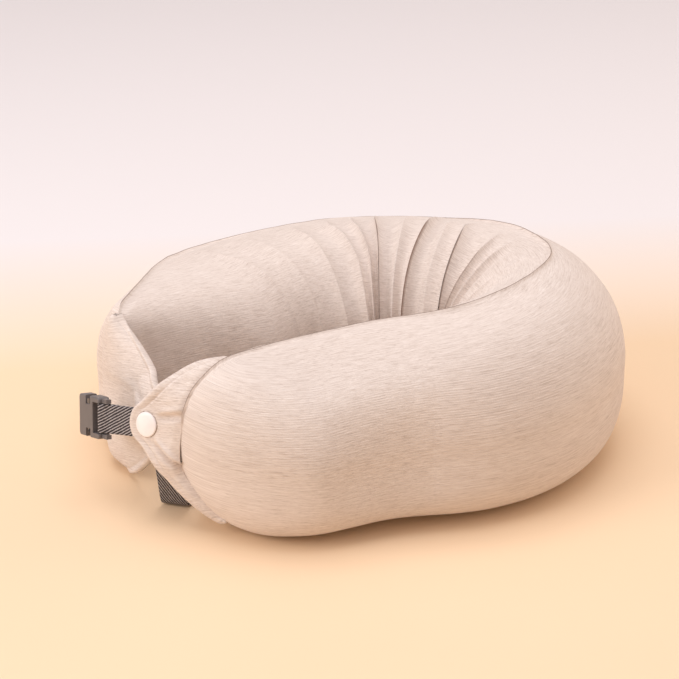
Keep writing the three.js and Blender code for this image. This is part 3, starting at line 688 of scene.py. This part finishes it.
def cover_surface():
    """The stuffed cover, as a grid of drawing points with folds, seams and puckers."""
    s = stations()
    angles, girth, around, seam_angle = cover_angles(s)
    along = follow_valleys(s, angles)
    base = cover_point(along, angles)
    normal = grid_normals(base, wrap=True)
    width, _, outline = half_sizes(s)
    body = smooth(2, 20, np.minimum(width, outline))[:, None]

    fold, crease, reach = gathers(s, angles, seam_angle)
    broad = body * 0.9 * wave_noise(along / 38, girth / 30, 3)
    base = base + normal * broad[..., None]
    base = base + stuffed_by_cloth(base, normal, body)
    offset = STEEPNESS * fold * body
    offset += 0.45 * reach * wave_noise(s[:, None] / 3.2, girth / 60, 9, 2)
    offset += body * 0.3 * wave_noise(along / 13, girth / 11, 5)
    seam_at = girth[:, OUTER_COLUMNS][:, None]
    to_top = girth - seam_at
    to_bottom = np.minimum(girth, around[:, None] - girth)
    for distance, seed in ((to_top, 11), (to_bottom, 12)):
        groove = np.exp(-(distance / 0.6) ** 2)
        rim = np.exp(-((np.abs(distance) - 2.8) / 2.2) ** 2)
        pucker = wave_noise(along / 3.4, 0 * along, seed, 2)
        near_seam = np.exp(-(distance / 8) ** 2)
        offset += body * (-1.3 * groove + 0.4 * rim + 0.18 * pucker * near_seam)
    points = base + normal * offset[..., None]
    points[..., 2] = np.maximum(points[..., 2], SHIFT[2] + 0.15)
    # distance to the seams, for the painted shade along them; pushed away at the thin tips so they
    # stay unshaded
    seam = np.minimum(np.abs(to_top), to_bottom) + 2.0 * (1 - body)
    return along, grain(s, angles), np.stack([seam, crease], -1) * MM, points


def cover_piece(name, s, weave, seam, points, normals, first, last, closed_row):
    """One stretch of the cover's grid as a mesh, closed by a fan at its tip."""
    columns = points.shape[1]
    place = points[first:last + 1].reshape(-1, 3)
    turned = normals[first:last + 1].reshape(-1, 3)
    faces, uvs, shade_marks = [], [], []
    for i in range(first, last):
        for j in range(columns):
            k = (j + 1) % columns
            row_a, row_b = (i - first) * columns, (i + 1 - first) * columns
            faces.append((row_a + j, row_a + k, row_b + k, row_b + j))
            panel = weave[0] if j < OUTER_COLUMNS else weave[1]
            lift = 0.0 if j < OUTER_COLUMNS else INNER_WEAVE_LIFT
            for a, b in ((i, j), (i, k), (i + 1, k), (i + 1, j)):
                uvs.append((s[a, b] * MM, panel[a, b] + lift))
                shade_marks.append(seam[a, b])
    ring = (closed_row - first) * columns
    middle = len(place)
    place = np.vstack([place, place[ring:ring + columns].mean(0)])
    turned = np.vstack([turned, turned[ring:ring + columns].mean(0)])
    for j in range(columns):
        a, b = ring + j, ring + (j + 1) % columns
        faces.append((middle, b, a) if closed_row == first else (middle, a, b))
        uvs += [(s[closed_row, j] * MM, weave[0][closed_row, j])] * 3
        shade_marks += [(FAR_AWAY, FAR_AWAY)] * 3
    obj = make_object(name, placed(place), faces, JERSEY, uvs, turned)
    add_shade_marks(obj, shade_marks)
    return obj


def make_covers():
    """The whole cover, cut at COVER_SPLIT into the two arms' pieces."""
    s, weave, seam, points = cover_surface()
    normals = grid_normals(points, wrap=True)
    split = int(np.argmin(np.abs(s[:, 0] - COVER_SPLIT)))
    grid = (s, weave, seam, points, normals)
    near = cover_piece("near_cover", *grid, 0, split, 0)
    far = cover_piece("far_cover", *grid, split, len(s) - 1, len(s) - 1)
    return near, far


near_cover, far_cover = make_covers()
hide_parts("near_arm_outer_panel", "near_arm_inner_panel", "back_outer_panel")
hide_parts("far_arm_outer_panel", "far_arm_inner_panel", "back_inner_panel")


def blend_at_cut(piece, cut):
    """Bakes a piece's placement into its mesh; it works out where the cut lies, but bends nothing.
    """
    x, y, heading = (float(v) for v in centreline(np.array(cut)))
    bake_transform(piece)


def inner_layer(name, depth, first, last, material):
    """A hidden layer under the cover, such as the liner, that follows its shape."""
    low = max(first, 8.0)
    high = min(last, LENGTH - 20.0)
    s = np.linspace(low, high, 40)
    angles = np.linspace(-180, 180, 48, endpoint=False)
    points = cover_point(s[:, None], angles[None, :], depth)
    faces = tube_faces(*points.shape[:2])
    return make_object(name, placed(points.reshape(-1, 3)), faces, material)


LAYERS = (("liner", 6.4, LINER), ("bead_fill", 8.0, BEADS))
for layer, depth, material in LAYERS:
    near_part = inner_layer("near_" + layer, depth, 0, COVER_SPLIT, material)
    far_part = inner_layer("far_" + layer, depth, COVER_SPLIT, LENGTH, material)
    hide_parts("near_arm_" + layer, "back_" + layer)
    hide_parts("far_arm_" + layer)
    for part, cut, arm, direction in ((near_part, NEAR_CUT, "near_arm", -1),
                                      (far_part, FAR_CUT, "far_arm", 1)):
        blend_at_cut(part, cut)

for cover, cut, arm, direction in ((near_cover, NEAR_CUT, "near_arm", -1),
                                   (far_cover, FAR_CUT, "far_arm", 1)):
    blend_at_cut(cover, cut)


# ------------------------------------------------------------------ the flaps
def from_snap(flap, along, across):
    """A point in the plane of a flap's snap."""
    return flap["snap"] + ALONG * along + ACROSS * across


def beside(flap, corner, bow):
    """A hem point between a corner and the snap, bowed out."""
    along, across = flap[bow]
    return flap[corner].lerp(flap["snap"], 0.45) + ALONG * along + ACROSS * across


def catmull(points, count):
    """A centripetal Catmull-Rom curve through points, resampled evenly."""
    points = [np.array(p) for p in points]
    ends = [2 * points[0] - points[1]] + points + [2 * points[-1] - points[-2]]
    dense = []
    for p0, p1, p2, p3 in zip(ends[:-3], ends[1:-2], ends[2:-1], ends[3:]):
        pairs = ((p0, p1), (p1, p2), (p2, p3))
        gaps = [max(np.linalg.norm(b - a) ** 0.5, 1e-6) for a, b in pairs]
        t0, t1 = 0.0, gaps[0]
        t2 = t1 + gaps[1]
        t3 = t2 + gaps[2]
        for t in np.linspace(t1, t2, 24, endpoint=False):
            a1 = ((t1 - t) * p0 + (t - t0) * p1) / (t1 - t0)
            a2 = ((t2 - t) * p1 + (t - t1) * p2) / (t2 - t1)
            a3 = ((t3 - t) * p2 + (t - t2) * p3) / (t3 - t2)
            b1 = ((t2 - t) * a1 + (t - t0) * a2) / (t2 - t0)
            b2 = ((t3 - t) * a2 + (t - t1) * a3) / (t3 - t1)
            dense.append(((t2 - t) * b1 + (t - t1) * b2) / (t2 - t1))
    dense.append(points[-1])
    dense = np.array(dense)
    run = np.concatenate([[0], np.cumsum(np.linalg.norm(np.diff(dense, axis=0), axis=1))])
    wanted = np.linspace(0, run[-1], count)
    return np.stack([np.interp(wanted, run, dense[:, k]) for k in range(3)], 1)


def flap_middle(flap, rows, columns):
    """A grid of a flap's middle surface: rows from the arm's end seam to the hem."""
    root = catmull([cover_point(s, angle, 1.2) for s, angle in flap["root"]], columns)
    hem = [root[0], flap["bottom"]]
    hem.append(beside(flap, "bottom", "lower"))
    for degrees in (-65, -35, 0, 35, 65):
        a = math.radians(degrees)
        along = flap["facing"] * APEX_RADIUS * math.cos(a)
        hem.append(from_snap(flap, along, APEX_RADIUS * math.sin(a)))
    hem += [beside(flap, "top", "upper"), root[-1]]
    hem = catmull(hem, columns)
    u = np.linspace(0, 1, rows)[:, None, None]
    points = root[None] * (1 - u) + hem[None] * u
    out = np.array(OUT)
    fall = flap["fall"]
    peak = 1 / (1 + fall)
    bulge = flap["bulge"] / (peak * (1 - peak) ** fall)
    points = points + out * (bulge * u * (1 - u) ** fall)
    away = points - np.array(flap["snap"])
    level = 1 - smooth(flap["flat"], flap["flat"] + FLAT_FADE, np.linalg.norm(away, axis=-1))
    return points - out * ((away @ out) * level)[..., None]


def flap_creases(flap, points):
    """Folds of the two flaps: lines in the snap's plane with a depth, and soft waves."""
    away = points - np.array(flap["snap"])
    x = away @ np.array(ALONG)
    y = away @ np.array(ACROSS)
    offset = np.zeros(x.shape)
    for x0, y0, x1, y1, depth, width in flap["creases"]:
        dx, dy = x1 - x0, y1 - y0
        t = np.clip(((x - x0) * dx + (y - y0) * dy) / (dx * dx + dy * dy), 0, 1)
        side = ((x - x0) * dy - (y - y0) * dx) / math.hypot(dx, dy)
        gap = np.hypot(x - x0 - t * dx, y - y0 - t * dy)
        fade = np.sin(np.pi * np.clip(t, 0.02, 0.98)) ** 0.5
        ridge = np.exp(-((side - 1.6 * width) / width) ** 2) * np.exp(-(gap / (3 * width)) ** 2)
        offset += depth * fade * (0.7 * ridge - np.exp(-(gap / width) ** 2))
    return offset + 0.35 * wave_noise(x / 9, y / 9, 21 + flap["facing"], 2)


def make_flap(name, flap, rows=56, columns=150):
    """Two layers of jersey with a puffy rounded hem, as one closed sheet."""
    middle = flap_middle(flap, rows, columns)
    normal = grid_normals(middle, wrap=False)
    normal *= np.sign(normal @ np.array(OUT))[..., None]
    steps = np.linalg.norm(np.diff(middle, axis=0), axis=-1)
    from_hem = np.concatenate([np.cumsum(steps[::-1], 0)[::-1], np.zeros((1, columns))], 0)
    from_root = np.concatenate([np.zeros((1, columns)), np.cumsum(steps, 0)], 0)
    corner = np.linspace(0, 1, columns)
    plain = smooth(0.0, 0.14, corner) * smooth(0.0, 0.06, 1 - corner)
    round_off = np.sqrt(1 - (1 - np.clip(from_hem / 2.0, 0, 1)) ** 2)
    rim = 0.45 * np.exp(-((from_hem - 2.6) / 1.8) ** 2)
    stitch = -0.5 * np.exp(-((from_hem - 6.0) / 0.7) ** 2)
    cap = 1 - smooth(6.8, 9, np.linalg.norm(middle - np.array(flap["snap"]), axis=-1))
    half = (1.72 + (rim + stitch) * plain * (1 - cap)) * (0.35 + 0.65 * smooth(0, 5, from_root))
    crease = flap_creases(flap, middle) * (1 - cap) * smooth(0, 6, from_hem)
    faces, uvs = [], []
    sides = []
    for side in (1, -1):
        height = side * half * round_off + crease
        sides.append((middle + normal * height[..., None]).reshape(-1, 3))
    total = rows * columns
    # painted shade in the cloth: a shadow line round the snap's cap, and shade where the flap's
    # root goes in under the arm's end
    away = middle - np.array(flap["snap"])
    rim_gap = np.abs(np.linalg.norm(away, axis=-1) - SNAP_RIM)
    unshaded = UNSHADED * (1 - smooth(*flap["shaded_from"], corner))
    root_gap = np.maximum(from_root - SEAM_SHADE, 0) + unshaded
    painted_shade_gap = np.minimum(rim_gap, root_gap) * MM
    shade_marks = []
    uv_u = away @ np.array(ALONG) * MM
    uv_v = away @ np.array(ACROSS) * MM

    def quad(a, b, c, d, flip):
        corners = (d, c, b, a) if flip else (a, b, c, d)
        faces.append(corners)
        for corner in corners:
            i, j = divmod(corner % total, columns)
            uvs.append((uv_u[i, j], uv_v[i, j]))
            shade_marks.append((painted_shade_gap[i, j], FAR_AWAY))

    turned = flap["facing"] > 0
    for side in (0, 1):
        for i in range(rows - 1):
            for j in range(columns - 1):
                a = side * total + i * columns + j
                quad(a, a + columns, a + columns + 1, a + 1, (side == 0) == turned)
    for j in range(columns - 1):
        first, last = j, (rows - 1) * columns + j
        quad(first, first + 1, total + first + 1, total + first, turned)
        quad(last, total + last, total + last + 1, last + 1, turned)
    for i in range(rows - 1):
        low, high = i * columns, i * columns + columns - 1
        quad(low, total + low, total + low + columns, low + columns, turned)
        quad(high, high + columns, total + high + columns, total + high, turned)
    obj = make_object(name, placed(np.vstack(sides)), faces, JERSEY, uvs)
    add_shade_marks(obj, shade_marks)
    weld(obj)
    return obj


# Each root: points on the bolster, as a distance along it and an angle round it.
NEAR["root"] = ((13, 289), (8, 285), (4, 279), (1.5, 268), (0.7, 240), (0.4, 180), (0.7, 130),
                (3, 106), (7, 103), (14, 101), (22, 100), (29, 100))
FAR["root"] = ((538, 268), (540, 282), (540, 305), (539, 335), (538, 360), (538, 390), (539, 420),
               (540, 440), (539, 457))
NEAR["share"] = 0.6  # how much of its cut rectangle a flap uses
FAR["share"] = 0.78
NEAR["shaded_from"] = (0.30, 0.60)
FAR["shaded_from"] = (2.0, 3.0)  # past the root's end, so this seam is not shaded
# Each crease: its two ends along and across the snap's plane, its depth and its width.
NEAR["creases"] = (
    (-4, -9, -27, -28, 2.8, 1.6), (-7, 4, -24, 6.5, 1.8, 1.9), (-6, 14, -24, 22, 0.6, 3.0),
)
FAR["creases"] = ((10, 6, 26, 20, 0.8, 3.0), (12, -10, 26, -22, 0.8, 3.0))
near_flap = make_flap("near_flap", NEAR)
far_flap = make_flap("far_flap", FAR)
for piece, flap, side, span in ((near_flap, NEAR, "near", (-20, -9)),
                                (far_flap, FAR, "far", (19, 8))):
    layers = [f"{side}_flap_{part}" for part in ("root", "outer_layer", "inner_layer")]
    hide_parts(*layers)
    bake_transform(piece)


# ------------------------------------------------------------------ the straps
def ribbon(name, line, side, width=WEB_WIDTH, thick=WEB):
    """A webbing strap along a line of points; side gives its width direction at each."""
    line = np.asarray(line, float)
    side = np.broadcast_to(np.asarray(side, float), line.shape)
    tangent = np.gradient(line, axis=0)
    tangent /= np.linalg.norm(tangent, axis=1, keepdims=True)
    side = side - tangent * (side * tangent).sum(1, keepdims=True)
    side /= np.linalg.norm(side, axis=1, keepdims=True)
    face = np.cross(side, tangent)
    section = []
    edge = thick / 2
    for middle, first in ((width / 2 - edge, -90), (-width / 2 + edge, 90)):
        for a in np.radians(np.linspace(first, first + 180, 7)):
            section.append((middle + edge * math.cos(a), edge * math.sin(a)))
    # the two faces get points between their edges
    full = []
    for i, point in enumerate(section):
        full.append(point)
        if i in (6, 13):
            after = section[(i + 1) % len(section)]
            for t in np.linspace(0, 1, 8)[1:-1]:
                full.append((point[0] + (after[0] - point[0]) * t, point[1]))
    section = np.array(full)
    run = np.concatenate([[0], np.cumsum(np.linalg.norm(np.diff(line, axis=0), axis=1))])
    points = line[:, None] + side[:, None] * section[None, :, :1]
    points = points + face[:, None] * section[None, :, 1:]
    rows, columns = points.shape[:2]
    faces, uvs = [], []
    for i in range(rows - 1):
        for j in range(columns):
            k = (j + 1) % columns
            faces.append((i * columns + j, (i + 1) * columns + j,
                          (i + 1) * columns + k, i * columns + k))
            uvs += [(run[i] * MM, section[j][0] * MM), (run[i + 1] * MM, section[j][0] * MM),
                    (run[i + 1] * MM, section[k][0] * MM), (run[i] * MM, section[k][0] * MM)]
    for ring, flip in ((0, False), (rows - 1, True)):
        corners = [ring * columns + j for j in range(columns)]
        faces.append(tuple(reversed(corners)) if flip else tuple(corners))
        uvs += [(run[ring] * MM, 0.0)] * columns
    return make_object(name, placed(points.reshape(-1, 3)), faces, WEBBING, uvs)


def loop_line(bar, back, up, reach, gap=BAR_SPACE + WEB / 2):
    """Points that come to a bar, go round it and return: one strap sewn on itself."""
    points = []
    height = WEB / 2 + 0.03
    for x in np.linspace(reach, LOOP_END, 6):
        points.append(bar + back * x + up * height)
    start = math.degrees(math.acos(0.45))
    for a in np.linspace(start, 360 - start, 17):
        turn = math.radians(a)
        points.append(bar + back * gap * math.cos(turn) + up * gap * math.sin(turn))
    for x in np.linspace(LOOP_END, TAIL, 5):
        points.append(bar + back * x - up * height)
    return points


bend = from_snap(NEAR, APEX_RADIUS + BEND_GAP, 0)
near_bar = bend + ALONG * NEAR_STRAP_LENGTH
line = [from_snap(NEAR, x, 0) for x in (3.9, 6.5, 9, 12, 14.5, 17)]
line += loop_line(near_bar, -ALONG, OUT, TAIL)
near_strap = ribbon("near_strap_webbing", catmull(line, 110), -np.array(ACROSS))
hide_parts("near_strap", "near_strap_tail")
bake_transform(near_strap)

far_bend = from_snap(FAR, FAR_ASIDE, -FAR_EXIT)
inward = Vector((math.cos(FAR_HEADING), math.sin(FAR_HEADING), 0))
upward = Vector((0, 0, 1))
ground = 0.6 + WEB / 2 - far_bend.z
drop = [
    (0, 0), (3, -12), (5.5, -22), (7, ground + 4.5), (8.6, ground + 1.6), (11.5, ground + 0.2),
    (15, ground),
]
line = [from_snap(FAR, FAR_ASIDE, -y) for y in (3.9, 8, 12)]
line += [far_bend + inward * x + upward * y for x, y in drop]
far_bar = far_bend + inward * 26 + upward * (ground + 2.7)
slope = (inward * -6 + upward * -1.1).normalized()
lift = slope.cross(inward.cross(upward)).normalized()
if lift.z < 0:
    lift = -lift
line += loop_line(far_bar, slope, lift, TAIL)
sideways = np.array(inward.cross(upward))
far_strap = ribbon("far_strap_webbing", catmull(line, 150), sideways)
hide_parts("far_strap", "far_strap_tail")
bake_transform(far_strap)


# ------------------------------------------------------------------ the snap
def lathe(name, flap, profile, steps=64):
    """A smooth shape turned about the snap's axis; profile is radius and height."""
    profile = catmull([(radius, height, 0) for radius, height in profile], 60)
    origin = np.array(flap["snap"])
    along, out, across = (np.array(d) for d in (ALONG, OUT, ACROSS))
    points = []
    for radius, height in profile[:, :2]:
        for k in range(steps):
            a = 2 * math.pi * k / steps
            ray = along * math.cos(a) + across * math.sin(a)
            points.append(origin + out * height + ray * max(radius, 0))
    obj = make_object(name, placed(np.array(points)), tube_faces(len(profile), steps), SNAP)
    weld(obj)
    return obj


cap = lathe("snap_cap_disc", NEAR, [
    (0.4, 1.75), (5.2, 1.75), (6.05, 1.85), (6.38, 2.15), (6.2, 2.55), (5.4, 2.85), (3.5, 3.12),
    (1.5, 3.25), (0.02, 3.28),
])
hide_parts("snap_cap")
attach(cap, "near_flap")

for material, nodes in ((SNAP, ("snap_socket", "snap_stud", "snap_post")),
                        (BUCKLE, ("buckle_socket", "buckle_plug",
                                  "latch_arm_left", "latch_arm_right"))):
    for node in nodes:
        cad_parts[node].data.materials.clear()
        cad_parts[node].data.materials.append(material)


# ------------------------------------------------------------------ stage and light
FLOOR = 2.2  # half the floor's side, in metres
FLOOR_TURN = math.radians(-15)
WORLD_STRENGTH = 0.88
BACKDROP = (0.86, 0.80, 0.78, 1)
HORIZON = (0.34, 0.24, 0.17, 1)
ZENITH = (1.0, 0.95, 0.97, 1)


def make_stage():
    """A warm floor, a soft world with a plain backdrop, and three area lights."""
    mesh = bpy.data.meshes.new("floor")
    corners = [(-FLOOR, -FLOOR, 0), (FLOOR, -FLOOR, 0), (FLOOR, FLOOR, 0), (-FLOOR, FLOOR, 0)]
    mesh.from_pydata(corners, [], [(0, 1, 2, 3)])
    mesh.materials.append(floor_material())
    floor = bpy.data.objects.new("floor", mesh)
    floor.rotation_euler = (0, 0, FLOOR_TURN)
    bpy.context.scene.collection.objects.link(floor)
    world = bpy.data.worlds.new("studio")
    bpy.context.scene.world = world
    world.use_nodes = True
    tree = world.node_tree
    direction = tree.nodes.new("ShaderNodeTexCoord").outputs["Generated"]
    split = tree.nodes.new("ShaderNodeSeparateXYZ")
    tree.links.new(direction, split.inputs[0])
    ramp = tree.nodes.new("ShaderNodeValToRGB")
    tree.links.new(split.outputs[2], ramp.inputs[0])
    ramp.color_ramp.elements[0].color = HORIZON
    ramp.color_ramp.elements[1].color = ZENITH
    light = tree.nodes["Background"]
    tree.links.new(ramp.outputs[0], light.inputs["Color"])
    light.inputs["Strength"].default_value = WORLD_STRENGTH
    seen = tree.nodes.new("ShaderNodeBackground")
    seen.inputs["Color"].default_value = BACKDROP
    either = tree.nodes.new("ShaderNodeMixShader")
    path = tree.nodes.new("ShaderNodeLightPath")
    tree.links.new(path.outputs["Is Camera Ray"], either.inputs[0])
    tree.links.new(light.outputs[0], either.inputs[1])
    tree.links.new(seen.outputs[0], either.inputs[2])
    tree.links.new(either.outputs[0], tree.nodes["World Output"].inputs["Surface"])
    for name, place, size, energy, colour in (
        ("key", (-1.5, -0.05, 0.75), 0.9, 11, (1.0, 0.97, 0.97)),
        ("fill", (1.5, -0.1, 0.5), 1.2, 5, (1.0, 0.83, 0.68)),
        ("top", (0.0, 0.0, 1.6), 1.2, 10.5, (1.0, 0.97, 0.99)),
    ):
        data = bpy.data.lights.new(name, "AREA")
        data.size, data.energy, data.color = size, energy, colour
        light = bpy.data.objects.new(name, data)
        light.location = place
        aim = Vector((0, 0, 0.05)) - Vector(place)
        light.rotation_euler = aim.to_track_quat("-Z", "Y").to_euler()
        bpy.context.scene.collection.objects.link(light)
    bpy.context.scene.view_settings.view_transform = "Standard"


make_stage()
